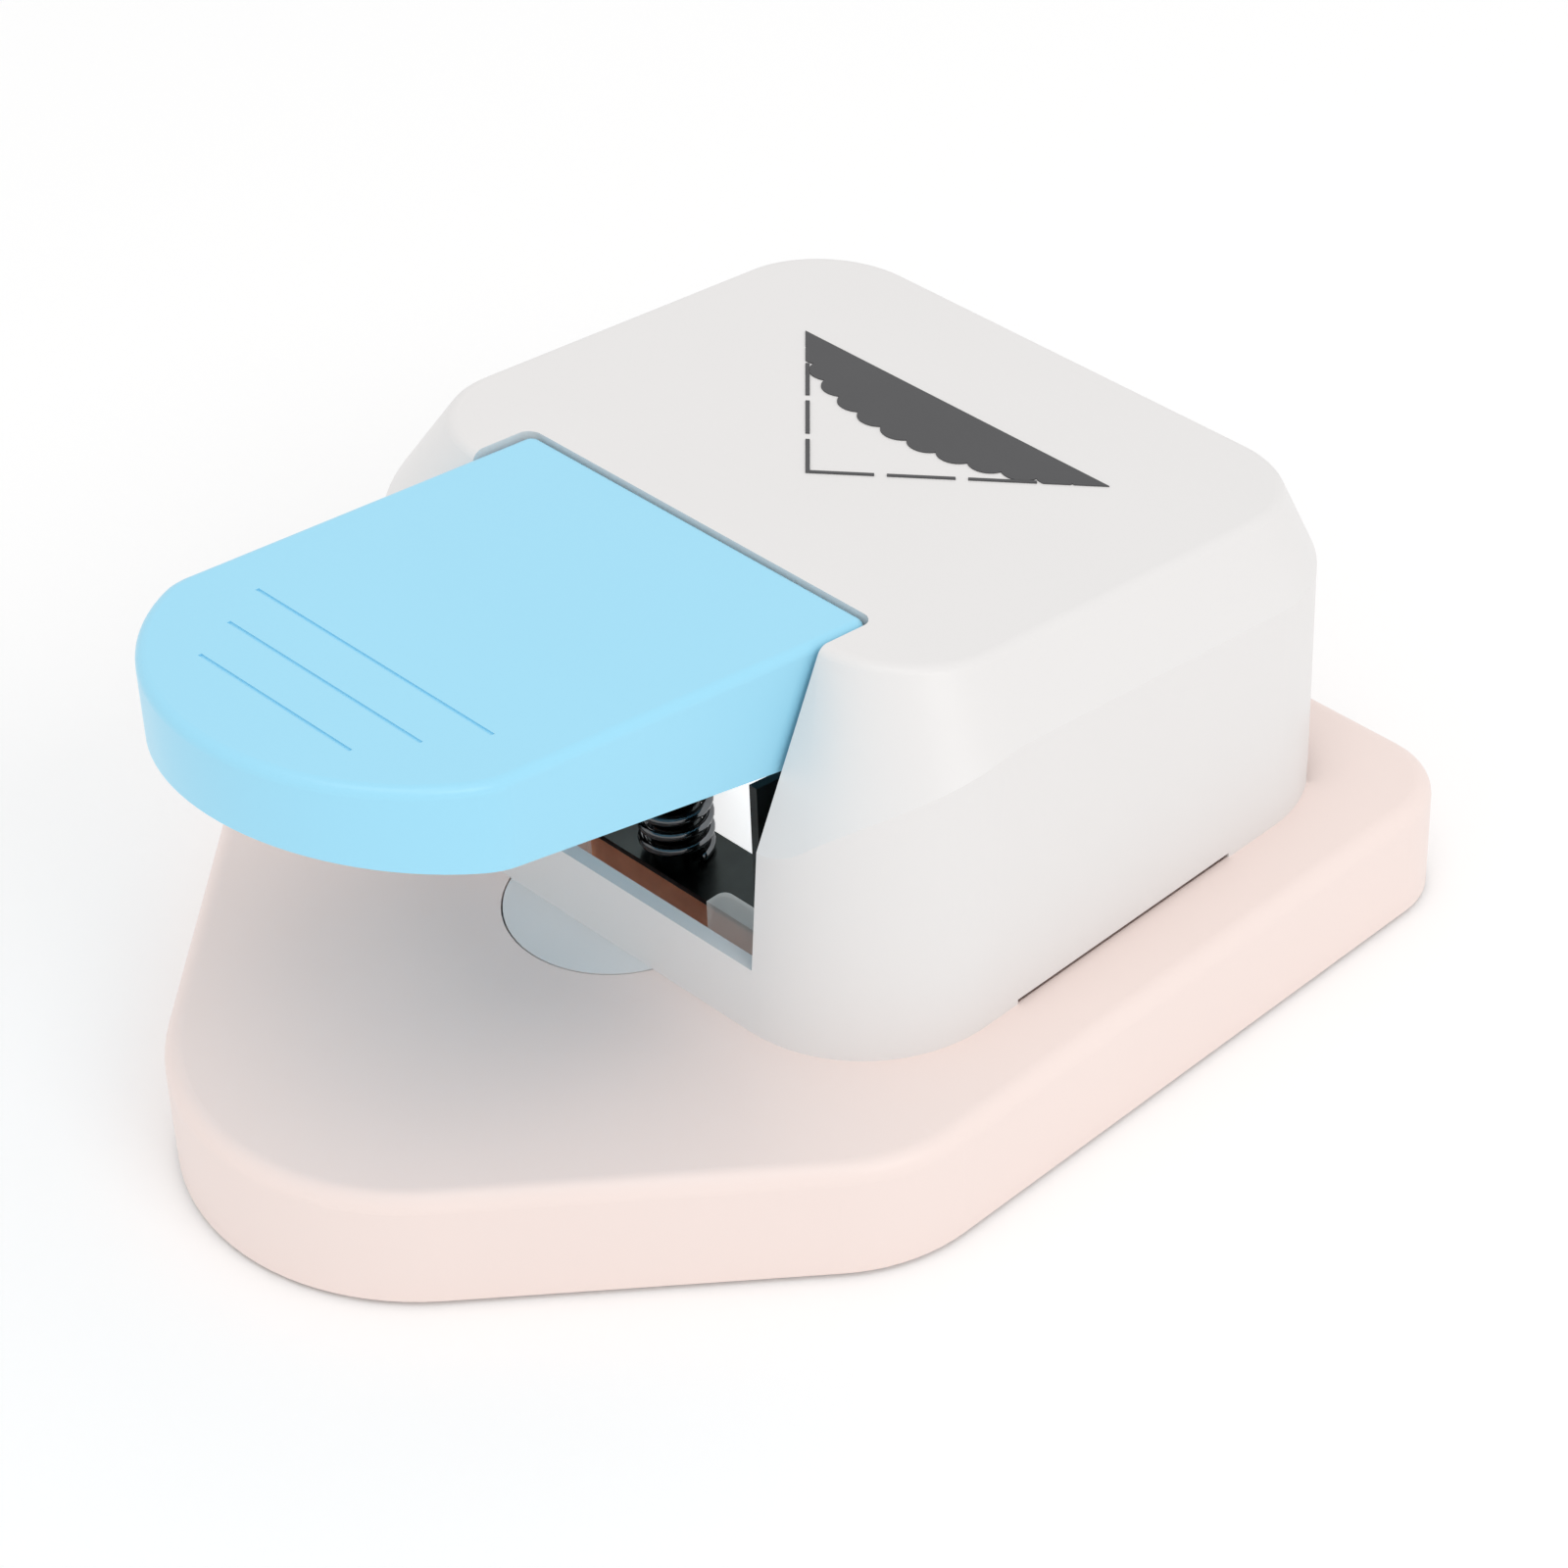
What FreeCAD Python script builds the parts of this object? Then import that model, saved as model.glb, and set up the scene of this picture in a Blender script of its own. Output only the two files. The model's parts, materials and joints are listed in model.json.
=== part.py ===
import FreeCAD, Part
import math
import os

# Corner rounder with a scalloped cutter: a palm lever over a chip-collecting base.
# Millimetres. +X is the user's right, -Y is towards the lever's tip, +Z is up.
# The origin is on the table under the middle of the base.

# ---- base -------------------------------------------------------------------
base_length = 99.2          # nose to rear edge
base_width = 78.0
base_rear_y = 49.6          # the nose is the end that moves with the length
base_top = 10.8             # height of the deck above the table
base_bottom = 0.5           # lower edge of the wall; the feet carry it
base_wall = 2.0
base_deck = 2.4             # thickness of the deck
nose_radius = 20.75
nose_flare = 41.0           # angle of each front flank from the Y axis, degrees
shoulder_radius = 14.4
rear_corner_radius = 7.0
rim_fillet = 1.5

# ---- feet, and the hatch under the base --------------------------------------
foot_radius = 4.5
foot_height = 1.5
foot_boss_wall = 1.5
rear_foot_inset_x = 8.5     # foot centre from the side of the base
rear_foot_inset_y = 8.3     # foot centre from the rear of the base
front_foot_x = 14.5
front_foot_y = 16.1         # foot centre from the nose
hatch_gap = 0.35
hatch_thickness = 1.6
hatch_bottom = 0.9
hatch_axis_inset = 5.6      # hinge axis from the rear of the base
hatch_axis_z = 3.2
hatch_tail = 2.0            # hatch behind its hinge axis
knuckle_radius = 1.8
knuckle_length = 6.0
knuckle_foot_gap = 5.5      # outer end of the knuckle to the rear foot's boss
ear_thickness = 2.6
ear_gap = 0.4
hatch_pin_radius = 1.0
thumb_notch_radius = 4.0

# ---- casing -------------------------------------------------------------------
casing_half_width = 32.0
casing_front_y = -13.1      # front of the foot, at the deck
casing_rear_y = 44.7
casing_front_radius = 12.8
casing_rear_radius = 11.0
casing_front_draft = 5.5    # lean of the lower front, degrees
casing_wall = 1.8
roof_half_width = 27.9
roof_front_y = -4.1
roof_front_z = base_top + 31.8
roof_rear_y = 43.8
roof_corner_radius = 9.0
roof_tilt = 6.7             # the roof falls towards the rear, degrees
hip_side_lean = 34.0        # lean of the long side facets from the roof's normal
hip_end_lean = 19.3         # lean of the front and rear facets
hip_depth = 26.0            # how far the facets are carried down before trimming
roof_fillet = 1.0
lip_top = base_top + 5.7    # top of the lip under the lever's opening
lip_thickness = 1.3
lip_recess = 3.5            # depth of the thinner part of the lip
lever_gap = 0.4             # casing opening to lever, each side
lever_rear_gap = 0.25       # casing opening to the lever's rear edge
opening_corner = 1.2
cheek_thickness = 1.2
cheek_rear_y = 12.0
side_slot = 0.45            # open seam under the long sides
side_slot_front_y = 3.3
side_slot_rear_y = 28.0
side_groove_inset = 0.15    # groove in the deck under the seam, from the casing's side
side_groove_width = 1.4
side_groove_depth = 1.2
rear_slot = 1.5             # paper mouth under the rear wall
rear_slot_front_y = 36.0
tongue_radius = 9.1
tongue_centre_y = -9.2
tongue_thickness = 1.2
tongue_rear_y = -11.6
tongue_gap = 0.15
tongue_floor_gap = 0.1

# ---- casing screws ------------------------------------------------------------
casing_post_gap = 1.7       # post to cheek
casing_screw_ys = (-3.5, 24.0)
casing_screw_radius = 1.25
casing_screw_reach = 10.0   # thread inside the casing's post
casing_screw_clearance = 0.15
casing_post_radius = 3.0
base_post_radius = 3.4
base_post_bottom = 5.0
screw_head_radius = 2.5
screw_head_height = 1.6
cross_slot_width = 0.7
cross_slot_depth = 0.8

# ---- cutting set ---------------------------------------------------------------
cut_half_width = 12.8       # half the straight-line width of the cut
scallop_count = 13
scallop_depth = 0.28        # height of a scallop over its chord
cut_margin = 0.9            # how far the cutter reaches outside the paper
cut_clearance = 0.2         # cutter to die and stripper
die_side_wall = 2.6         # die outside the ends of the cut
die_front_y = -5.5
die_thickness = 3.0
die_land = 1.5              # height of the cutting land in the die
die_relief = 0.5            # the chip hole is this much wider under the land
paper_gap = 0.9             # die face to stripper
stripper_thickness = 0.5
die_screw_inset = 3.9       # from the die's side
die_screw_ys = (-4.3, 31.0)
die_screw_radius = 1.0
die_screw_reach = 2.4
die_screw_head_radius = 1.9
die_screw_head_height = 1.4
die_ledge_thickness = 2.0
front_ledge_rear_y = -1.0
rear_ledge_front_y = 29.0
well_gap = 0.8              # side plate to the base's opening
well_end_gap = 0.3
well_wall = 1.8
rivet_inset = 2.2           # from the die's side
rivet_ys = (4.5, 25.0)
rivet_radius = 1.0
rivet_head_radius = 0.85
rivet_head_height = 0.4

# ---- steel side plates --------------------------------------------------------
plate_thickness = 0.8
plate_front_y = -8.5
plate_front_top = base_top + 19.4
plate_top = base_top + 18.2
plate_throat_y = 26.0       # the paper's throat is open behind this
plate_throat_gap = 0.3
plate_heel_y = 35.0
cross_pin_radius = 1.0
cross_pin_ys = (2.0, 11.6)
cross_pin_head_radius = 1.5
cross_pin_head = 0.5
crossbar_y = 35.0
crossbar_z = base_top + 9.2
crossbar_radius = 1.8

# ---- pivot ----------------------------------------------------------------------
pivot_y = 37.5
pivot_z = base_top + 17.2
pivot_radius = 2.0
pivot_running_gap = 0.05
pivot_boss_radius = 4.2
pin_overhang = 1.1          # pin beyond the lever's arm
clip_radius = 3.4
clip_thickness = 0.6
clip_gap = 0.3

# ---- lever ----------------------------------------------------------------------
lever_plate_gap = 0.4       # arm to side plate
lever_taper = 0.6           # the lever is this much narrower at the nose, each side
lever_rear_y = 1.4
lever_flank_y = -34.9       # where the flanks meet the nose
lever_nose_y = -47.2
lever_nose_blend = 6.0
lever_rear_corner = 1.0
lever_top_z = base_top + 31.0       # top at the rear edge
lever_top_slope = 7.8       # the top rises towards the tip, degrees
lever_bottom_z = base_top + 20.0    # skirt at the rear edge
lever_bottom_slope = 12.6
lever_wall = 2.1
lever_top_wall = 2.0
lever_fillet = 0.8
lever_rib_x = 8.6
lever_rib_thickness = 1.2
lever_rib_height = 3.0
lever_rib_front_y = -38.0
web_gap = 0.6               # lever's web to the casing's roof
web_thickness = 2.0
web_rear_y = 31.5
arm_rear_y = 33.0
arm_overlap = 4.0
groove_width = 0.35
groove_depth = 0.15
grooves = ((-30.8, 13.1), (-35.4, 10.7), (-39.9, 8.4))     # place, half length
cup_radius = 4.6
cup_wall = 1.2
cup_bottom = base_top + 24.2
press_arm = 14.0            # pivot to press pin, along Y
press_pin_radius = 2.0
press_pin_half_length = 9.5
press_rib_x = 6.5
press_rib_thickness = 2.0
press_rib_half_length = 4.0
press_rib_hold = 1.2        # rib below the press pin's axis
press_gap = 0.2             # press pin to carrier at rest

# ---- punch and carrier -----------------------------------------------------------
punch_rest_gap = 0.3        # cutter's face above the paper gap at rest
punch_height = 7.5
punch_seat = 2.0            # cutter inside the carrier
punch_screw_x = 3.2
punch_screw_reach_y = 4.4   # behind the cutter's tip
punch_screw_radius = 0.9
punch_screw_reach = 3.0
punch_screw_head_radius = 1.7
punch_screw_head_height = 1.0
carrier_front_y = 4.2
carrier_rear_y = 31.5
carrier_rear_wall = 3.7     # carrier behind the ends of the cut
carrier_thickness = 5.0
carrier_corner = 1.5
pad_half_width = 10.0
pad_half_length = 3.2
pad_height = 0.5
post_inset = 3.4            # guide post from the carrier's side
post_y = 8.0
post_radius = 1.5
post_top = base_top + 16.2
post_running_gap = 0.05
housing_gap = 0.2           # housing to carrier and to side plate
housing_wall = 1.1
housing_front_wall = 1.2
housing_rear_gap = 0.4
housing_top = base_top + 13.2
housing_peg_radius = 1.2
housing_peg_ys = (7.0, 26.0)
housing_peg_z = base_top + 8.2

# ---- springs, and what holds them --------------------------------------------------
lever_spring_y = -2.4
lever_spring_radius = 2.75  # to the wire's centre
lever_spring_wire = 0.4     # wire's radius
lever_spring_pitch = 3.0
lever_spring_top_gap = 0.5
lever_spring_gap = 0.35     # spring to housing
lever_post_radius = 2.1
lever_post_top = base_top + 13.2
punch_spring_radius = 2.2
punch_spring_wire = 0.3
punch_spring_pitch = 1.7
punch_spring_pocket = 3.5
punch_spring_top_gap = 0.1
punch_spring_pocket_radius = 2.9
clip_front_x = 7.0          # nylon clips over the steel bar: inner edge
edge_clip_thickness = 0.4
edge_clip_depth = 1.6
edge_clip_drop = 3.6
edge_clip_corner = 0.9

# ---- printed mark on the roof --------------------------------------------------------
mark_apex_y = 13.3
mark_half_width = 16.9
mark_thickness = 0.1
mark_dash = 5.4
mark_dash_pitch = 6.4
mark_dash_count = 3
mark_dash_width = 0.35

# ---- worked out from the sizes above ---------------------------------------------------
base_nose_y = base_rear_y - base_length
middle_y = (base_rear_y + base_nose_y) / 2
base_half_width = base_width / 2
deck_under = base_top - base_deck
apex_y = carrier_rear_y - carrier_rear_wall - cut_half_width    # tip of the paper's corner
die_half_width = cut_half_width + die_side_wall
die_rear_y = carrier_rear_y + housing_rear_gap + housing_wall
die_screw_x = die_half_width - die_screw_inset
rivet_x = die_half_width - rivet_inset
die_bottom = base_top - die_thickness
stripper_bottom = base_top + paper_gap
stripper_top = stripper_bottom + stripper_thickness
plate_inner = die_half_width
plate_outer = plate_inner + plate_thickness
lever_rear_half_width = plate_outer + lever_plate_gap + lever_wall
lever_front_half_width = lever_rear_half_width - lever_taper
well_half_width = plate_outer + well_gap
well_front_y = plate_front_y - well_end_gap
well_rear_y = die_rear_y + well_end_gap
opening_half_width = lever_rear_half_width + lever_gap
opening_rear_y = lever_rear_y + lever_rear_gap
casing_screw_x = opening_half_width + cheek_thickness + casing_post_gap + casing_post_radius
arm_outer = lever_rear_half_width
arm_inner = arm_outer - lever_wall
carrier_half_width = plate_inner - housing_wall - 2 * housing_gap
post_x = carrier_half_width - post_inset
housing_front_y = lever_spring_y + lever_spring_radius + lever_spring_wire + lever_spring_gap
punch_screw_y = apex_y + punch_screw_reach_y
punch_bottom = stripper_bottom + punch_rest_gap
punch_top = punch_bottom + punch_height
carrier_bottom = punch_top - punch_seat
carrier_top = carrier_bottom + carrier_thickness
press_y = pivot_y - press_arm
press_z = carrier_top + pad_height + press_gap + press_pin_radius
hatch_axis_y = base_rear_y - hatch_axis_inset
rear_foot = (base_half_width - rear_foot_inset_x, base_rear_y - rear_foot_inset_y)
knuckle_outer = rear_foot[0] - foot_radius - foot_boss_wall - knuckle_foot_gap
knuckle_inner = knuckle_outer - knuckle_length
front_foot = (front_foot_x, base_nose_y + front_foot_y)
roof_length = (roof_rear_y - roof_front_y) / math.cos(math.radians(roof_tilt))
top = 80.0                  # above everything: the far side of open cuts


# ---- helpers -----------------------------------------------------------------------------
def vec(x, y, z=0.0):
    return FreeCAD.Vector(x, y, z)


def tangent(degrees):
    return math.tan(math.radians(degrees))


def box(x0, x1, y0, y1, z0, z1):
    return Part.makeBox(x1 - x0, y1 - y0, z1 - z0, vec(x0, y0, z0))


def rod(radius, x, y, z0, z1):
    return Part.makeCylinder(radius, z1 - z0, vec(x, y, z0))


def cross_rod(radius, x0, x1, y, z):
    return Part.makeCylinder(radius, x1 - x0, vec(x0, y, z), vec(1, 0, 0))


def mirrored(shape):
    return shape.mirror(vec(0, 0, 0), vec(1, 0, 0))


def both_sides(shape):
    return [shape, mirrored(shape)]


def fused(first, others):
    return first.fuse(list(others)).removeSplitter()


def group(shapes):
    return Part.makeCompound(list(shapes))


def outline(corners, z=0.0):
    """Closed wire through (x, y, radius) corners, each rounded by its radius."""
    edges = []
    joints = []
    count = len(corners)
    for i, (x, y, radius) in enumerate(corners):
        here = vec(x, y, z)
        before = vec(corners[i - 1][0], corners[i - 1][1], z) - here
        after = vec(corners[(i + 1) % count][0], corners[(i + 1) % count][1], z) - here
        before.normalize()
        after.normalize()
        if radius <= 0:
            joints.append((here, None, here))
            continue
        half = before.getAngle(after) / 2
        reach = radius / math.tan(half)
        middle = before + after
        middle.normalize()
        crown = here + middle * (radius / math.sin(half) - radius)
        joints.append((here + before * reach, crown, here + after * reach))
    for i, (start, crown, end) in enumerate(joints):
        if crown is not None:
            edges.append(Part.Arc(start, crown, end).toShape())
        follow = joints[(i + 1) % count][0]
        if end.distanceToPoint(follow) > 1e-6:
            edges.append(Part.LineSegment(end, follow).toShape())
    return Part.Wire(edges)


def slab(corners, z0, z1):
    return Part.Face(outline(corners, z0)).extrude(vec(0, 0, z1 - z0))


def side_slab(points, x0, x1):
    """Plate in the YZ plane from (y, z) points, between two values of x."""
    loop = [vec(x0, y, z) for y, z in points]
    return Part.Face(Part.makePolygon(loop + loop[:1])).extrude(vec(x1 - x0, 0, 0))


def inset(corners, distance):
    """The same counter-clockwise outline, moved inwards all round."""
    count = len(corners)
    lines = []
    for i in range(count):
        start = vec(*corners[i][:2])
        along = vec(*corners[(i + 1) % count][:2]) - start
        along.normalize()
        inward = vec(-along.y, along.x)
        lines.append((start + inward * distance, along))
    result = []
    for i in range(count):
        p, u = lines[i - 1]
        q, v = lines[i]
        cross = u.x * v.y - u.y * v.x
        t = ((q.x - p.x) * v.y - (q.y - p.y) * v.x) / cross
        result.append((p.x + u.x * t, p.y + u.y * t, max(corners[i][2] - distance, 0.4)))
    return result


def above_plane(y, z, slope):
    """Everything above a plane through (y, z) that rises towards -Y by slope degrees."""
    block = box(-top, top, -2 * top, 2 * top, 0, 2 * top)
    block.Placement = FreeCAD.Placement(vec(0, y, z), FreeCAD.Rotation(vec(1, 0, 0), -slope))
    return block


def coil(radius, wire, pitch, x, y, z0, z1):
    """Open-wound spring standing between z0 and z1."""
    height = z1 - z0 - 2 * wire
    spine = Part.makeHelix(pitch, height, radius)
    spine.translate(vec(x, y, z0 + wire))
    start = spine.Edges[0].Vertexes[0].Point
    lead = vec(0, 2 * math.pi * radius, pitch)
    section = Part.Wire([Part.Circle(start, lead, wire).toShape()])
    return Part.Wire(spine.Edges).makePipeShell([section], True, True)


def screw(x, y, seat_z, reach_z, radius, head_radius, head_height):
    """Screw driven upwards: head under seat_z, shank up to reach_z, crossed slots."""
    head = rod(head_radius, x, y, seat_z - head_height, seat_z)
    span = head_radius * 0.7
    half = cross_slot_width / 2
    floor = seat_z - head_height
    depth = min(cross_slot_depth, head_height * 0.6)
    slots = [box(x - span, x + span, y - half, y + half, floor, floor + depth),
             box(x - half, x + half, y - span, y + span, floor, floor + depth)]
    shank = rod(radius, x, y, seat_z, reach_z)
    return head.cut(slots).fuse(shank).removeSplitter()


# ---- outlines --------------------------------------------------------------------------------
def base_corners():
    flare = math.radians(nose_flare)
    apex = base_nose_y + nose_radius - nose_radius / math.sin(flare)
    shoulder = apex + base_half_width / math.tan(flare)
    return [(base_half_width, base_rear_y, rear_corner_radius),
            (-base_half_width, base_rear_y, rear_corner_radius),
            (-base_half_width, shoulder, shoulder_radius),
            (0.0, apex, nose_radius),
            (base_half_width, shoulder, shoulder_radius)]


def scallop_edges(centre_y, radius, z, offset):
    """Scalloped quarter arc from left to right; offset moves it away from the cutter."""
    edges = []
    step = math.pi / 2 / scallop_count
    inner = radius - offset
    chord = 2 * inner * math.sin(step / 2)
    crown = inner * math.cos(step / 2) + scallop_depth * chord
    for i in range(scallop_count):
        a0 = math.pi * 1.25 + i * step
        points = []
        for angle, reach in ((a0, inner), (a0 + step / 2, crown), (a0 + step, inner)):
            points.append(vec(reach * math.cos(angle), centre_y + reach * math.sin(angle), z))
        edges.append(Part.Arc(*points).toShape())
    return edges


def cutter_face(z, grow=0.0):
    """Cross-section of the cutter: the corner of the sheet in front of the scallops."""
    radius = cut_half_width * math.sqrt(2)
    edges = scallop_edges(apex_y + 2 * cut_half_width, radius, z, grow)
    left = edges[0].Vertexes[0].Point
    right = edges[-1].Vertexes[-1].Point
    side = grow / math.sqrt(2)
    reach = (cut_margin + 2 * grow) / math.sqrt(2)
    left_in = vec(left.x - side, left.y + side, z)
    right_in = vec(right.x + side, right.y + side, z)
    left_out = vec(left_in.x - reach, left_in.y - reach, z)
    right_out = vec(right_in.x + reach, right_in.y - reach, z)
    tip = vec(0, left_out.y + left_out.x, z)
    path = [right, right_in, right_out, tip, left_out, left_in, left]
    edges += [Part.LineSegment(start, end).toShape() for start, end in zip(path, path[1:])
              if start.distanceToPoint(end) > 1e-6]
    return Part.Face(Part.Wire(edges))


def cutter(z0, z1, grow=0.0):
    return cutter_face(z0, grow).extrude(vec(0, 0, z1 - z0))


# ---- base, hatch, feet ---------------------------------------------------------------------------
def foot_places():
    return [(s * x, y) for x, y in (rear_foot, front_foot) for s in (1, -1)]


def casing_screw_places():
    return [(s * casing_screw_x, y) for y in casing_screw_ys for s in (1, -1)]


def die_screw_places():
    return [(s * die_screw_x, y) for y in die_screw_ys for s in (1, -1)]


def ear_spans():
    outer = knuckle_outer + ear_gap
    inner = knuckle_inner - ear_gap
    return ((inner - ear_thickness, inner), (outer, outer + ear_thickness))


def make_base():
    corners = base_corners()
    body = slab(corners, base_bottom, base_top)
    rim = [e for e in body.Edges if all(abs(v.Z - base_top) < 1e-6 for v in e.Vertexes)]
    body = body.makeFillet(rim_fillet, rim)
    room = slab(inset(corners, base_wall), base_bottom - 1, deck_under)
    inside = slab(inset(corners, base_wall / 2), base_bottom, deck_under + base_deck / 2)
    keep = []
    for x, y in foot_places():
        keep.append(rod(foot_radius + foot_boss_wall, x, y, base_bottom, base_top - 1).common(inside))
    for x, y in casing_screw_places():
        keep.append(rod(base_post_radius, x, y, base_post_bottom, base_top - 1))
    keep.append(box(-well_half_width - well_wall, well_half_width + well_wall,
                    well_front_y - well_wall, well_rear_y + well_wall,
                    die_bottom - die_ledge_thickness, base_top - 1))
    for x0, x1 in ear_spans():
        ear = box(x0, x1, hatch_axis_y - 2, base_rear_y - 1, hatch_axis_z - 2, base_top - 1)
        keep += both_sides(ear)
    body = fused(body.cut(room), keep)

    cuts = [box(-well_half_width, well_half_width, well_front_y, well_rear_y, die_bottom, top)]
    cuts.append(box(-well_half_width, well_half_width, front_ledge_rear_y, rear_ledge_front_y, 0, top))
    for x, y in foot_places():
        cuts.append(rod(foot_radius, x, y, 0, foot_height))
    for x, y in casing_screw_places():
        cuts.append(rod(casing_screw_radius + casing_screw_clearance, x, y, 0, top))
    for x, y in die_screw_places():
        cuts.append(rod(die_screw_radius + casing_screw_clearance, x, y, 0, top))
    groove_x = casing_half_width - side_groove_inset
    cuts += both_sides(box(groove_x - side_groove_width, groove_x, side_slot_front_y,
                           side_slot_rear_y, base_top - side_groove_depth, top))
    for side in (1, -1):
        pin_end = ear_spans()[1][1]
        cuts.append(cross_rod(hatch_pin_radius, min(0, side * pin_end), max(0, side * pin_end),
                              hatch_axis_y, hatch_axis_z))
    recess_bottom = base_top - tongue_thickness - tongue_floor_gap
    recess = rod(tongue_radius + tongue_gap, 0, tongue_centre_y, recess_bottom, top)
    cuts.append(recess.common(box(-top, top, -top, tongue_rear_y + tongue_gap, 0, 2 * top)))
    return body.cut(cuts)


def make_hatch():
    corners = inset(base_corners(), base_wall + hatch_gap)
    hatch_top = hatch_bottom + hatch_thickness
    plate = slab(corners, hatch_bottom, hatch_top)
    boss = foot_radius + foot_boss_wall + 2 * hatch_gap
    tail_y = hatch_axis_y + hatch_tail
    cuts = [box(-top, top, tail_y, top, 0, top)]
    cuts += both_sides(box(rear_foot[0] - boss, top, rear_foot[1] - boss, top, 0, top))
    cuts += both_sides(rod(boss, front_foot[0], front_foot[1], 0, top))
    for x0, x1 in ear_spans():
        cuts += both_sides(box(x0 - ear_gap, x1 + ear_gap, hatch_axis_y - 4, top, 0, top))
    cuts.append(rod(thumb_notch_radius, 0, corners[3][1] + corners[3][2] / math.sin(math.radians(
        nose_flare)) - corners[3][2] - thumb_notch_radius / 2, 0, top))
    plate = plate.cut(cuts)
    knuckle = cross_rod(knuckle_radius, knuckle_inner, knuckle_outer, hatch_axis_y, hatch_axis_z)
    plate = fused(plate, both_sides(knuckle))
    bore = cross_rod(hatch_pin_radius + pivot_running_gap, -top, top, hatch_axis_y, hatch_axis_z)
    return plate.cut(bore)


def make_hatch_pins():
    start = ear_spans()[0][0]
    end = ear_spans()[1][1]
    return group(both_sides(cross_rod(hatch_pin_radius, start, end, hatch_axis_y, hatch_axis_z)))


def make_feet():
    feet = []
    for x, y in foot_places():
        foot = rod(foot_radius, x, y, 0, foot_height)
        rim = [e for e in foot.Edges if all(abs(v.Z) < 1e-6 for v in e.Vertexes)]
        feet.append(foot.makeChamfer(0.3, rim[:1]))
    return group(feet)


# ---- casing -------------------------------------------------------------------------------------------
def casing_foot(distance, z):
    """Outline of the casing's vertical walls at height z, moved inwards by distance."""
    front = casing_front_y + (z - base_top) * tangent(casing_front_draft)
    half = casing_half_width
    corners = [(half, casing_rear_y, casing_rear_radius), (-half, casing_rear_y, casing_rear_radius),
               (-half, front, casing_front_radius), (half, front, casing_front_radius)]
    return outline(inset(corners, distance) if distance else corners, z)


def roof_outline(distance, depth):
    """Outline of the hipped top, depth below the roof, in the roof's own tilted frame."""
    side = math.radians(hip_side_lean)
    end = math.radians(hip_end_lean)
    half = roof_half_width + depth * math.tan(side) - distance / math.cos(side)
    spread = depth * math.tan(end) - distance / math.cos(end)
    radius = max(roof_corner_radius + depth * math.tan(end) - distance, 1.0)
    corners = [(half, roof_length + spread, radius), (-half, roof_length + spread, radius),
               (-half, -spread, radius), (half, -spread, radius)]
    return outline(corners, -depth)


def roof_placement():
    return FreeCAD.Placement(vec(0, roof_front_y, roof_front_z),
                             FreeCAD.Rotation(vec(1, 0, 0), -roof_tilt))


def casing_form(distance, floor):
    """Solid bounded by the casing's outer faces, or by its inner ones when distance > 0."""
    walls = Part.makeLoft([casing_foot(distance, floor), casing_foot(distance, roof_front_z + 8)],
                          True, True)
    hip = Part.makeLoft([roof_outline(distance, distance), roof_outline(distance, hip_depth)],
                        True, True)
    hip.Placement = roof_placement()
    skirt = box(-top, top, -top, top, floor - 1, roof_front_z - hip_depth + 6)
    return walls.common(hip.fuse(skirt))


def roof_plane_z(y):
    return roof_front_z - (y - roof_front_y) * tangent(roof_tilt)


def make_casing():
    outer = casing_form(0.0, base_top)
    rim = [e for e in outer.Edges
           if all(abs(v.Z - roof_plane_z(v.Y)) < 1e-3 for v in e.Vertexes)]
    outer = outer.makeFillet(roof_fillet, rim)

    cheek = box(opening_half_width, opening_half_width + cheek_thickness,
                -top, cheek_rear_y, lip_top, top)
    posts = [rod(casing_post_radius, x, y, base_top, top) for x, y in casing_screw_places()]
    shell = outer.cut(casing_form(casing_wall, base_top - 1).cut(both_sides(cheek) + posts))
    tongue = rod(tongue_radius, 0, tongue_centre_y, base_top - tongue_thickness, base_top)
    shell = fused(shell, [tongue.common(box(-top, top, -top, tongue_rear_y, 0, top))])

    corner = opening_corner
    half = opening_half_width
    mouth = [(half, opening_rear_y, corner), (-half, opening_rear_y, corner),
             (-half, -top, 0), (half, -top, 0)]
    lip_rear = casing_front_y + (lip_top - base_top) * tangent(casing_front_draft) + lip_thickness
    cuts = [slab(mouth, lip_top, top)]
    cuts.append(box(-half, half, lip_rear, tongue_centre_y, lip_top - lip_recess, top))
    cuts.append(box(-top, top, side_slot_front_y, side_slot_rear_y, 0, base_top + side_slot))
    mouth_half = casing_half_width - casing_wall
    cuts.append(box(-mouth_half, mouth_half, rear_slot_front_y, top, 0, base_top + rear_slot))
    for x, y in casing_screw_places():
        cuts.append(rod(casing_screw_radius, x, y, 0, base_top + casing_screw_reach + 0.5))
    return shell.cut(cuts)


def make_casing_screws():
    return group(screw(x, y, base_post_bottom, base_top + casing_screw_reach, casing_screw_radius,
                       screw_head_radius, screw_head_height) for x, y in casing_screw_places())


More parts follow.
